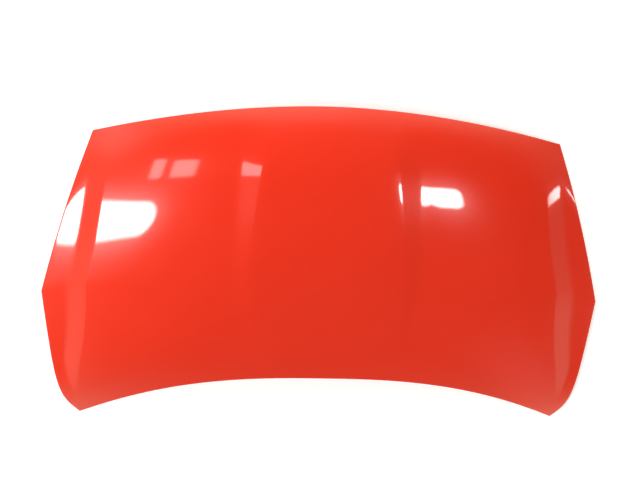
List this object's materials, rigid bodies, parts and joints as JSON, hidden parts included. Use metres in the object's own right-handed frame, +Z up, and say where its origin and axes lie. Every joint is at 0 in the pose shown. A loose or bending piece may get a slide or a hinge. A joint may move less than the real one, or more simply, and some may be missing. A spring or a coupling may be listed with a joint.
{
  "type": "car bonnet",
  "caption": "Pressed steel car bonnet with a hemmed, creased outer skin over a V-braced inner frame, with a striker loop, hinge seats and rubber buffers.",
  "frame": {"origin": "on the floor plane that the bonnet's rim rests on, under the middle of its extent in X and Y", "axes": "+Z up, the outer side; +Y towards the front (grille) edge; +X across, to the right of the picture"},
  "size_m": [1.442, 0.8506, 0.1173],
  "materials": {
    "body_paint": "solid red with a high-gloss clear coat",
    "inner_paint": "solid red, thinner and duller than the outer side",
    "painted_sealer": "soft sealer bead under paint",
    "mastic": "matt grey mastic",
    "primed_steel": "matt electrocoat primer",
    "rubber": "matt black rubber",
    "nylon": "satin black moulding",
    "zinc_plate": "bright zinc plating"
  },
  "bodies": {
    "root": {"outer_skin": "body_paint", "inner_frame": "inner_paint", "front_buffer_left": "rubber", "front_buffer_right": "rubber", "hem_sealant": "painted_sealer", "hinge_left_nut_1": "zinc_plate", "hinge_left_nut_2": "zinc_plate", "hinge_left_reinforcement": "primed_steel", "hinge_right_nut_1": "zinc_plate", "hinge_right_nut_2": "zinc_plate", "hinge_right_reinforcement": "primed_steel", "prop_rod_grommet": "nylon", "side_buffer_left": "rubber", "side_buffer_right": "rubber", "striker_bolt_1": "zinc_plate", "striker_bolt_2": "zinc_plate", "striker_loop": "zinc_plate", "striker_nut_1": "zinc_plate", "striker_nut_2": "zinc_plate", "striker_plate": "zinc_plate", "striker_reinforcement": "primed_steel", "mastic_1": "mastic", "mastic_2": "mastic", "mastic_3": "mastic", "mastic_4": "mastic", "mastic_5": "mastic", "mastic_6": "mastic", "mastic_7": "mastic", "mastic_8": "mastic", "mastic_9": "mastic", "mastic_10": "mastic", "mastic_11": "mastic", "mastic_12": "mastic", "mastic_13": "mastic", "mastic_14": "mastic", "mastic_15": "mastic", "mastic_16": "mastic", "mastic_17": "mastic", "mastic_18": "mastic", "mastic_19": "mastic", "mastic_20": "mastic", "mastic_21": "mastic", "mastic_22": "mastic", "mastic_23": "mastic", "mastic_24": "mastic", "mastic_25": "mastic", "mastic_26": "mastic", "mastic_27": "mastic", "mastic_28": "mastic", "mastic_29": "mastic"}
  },
  "joints": []
}
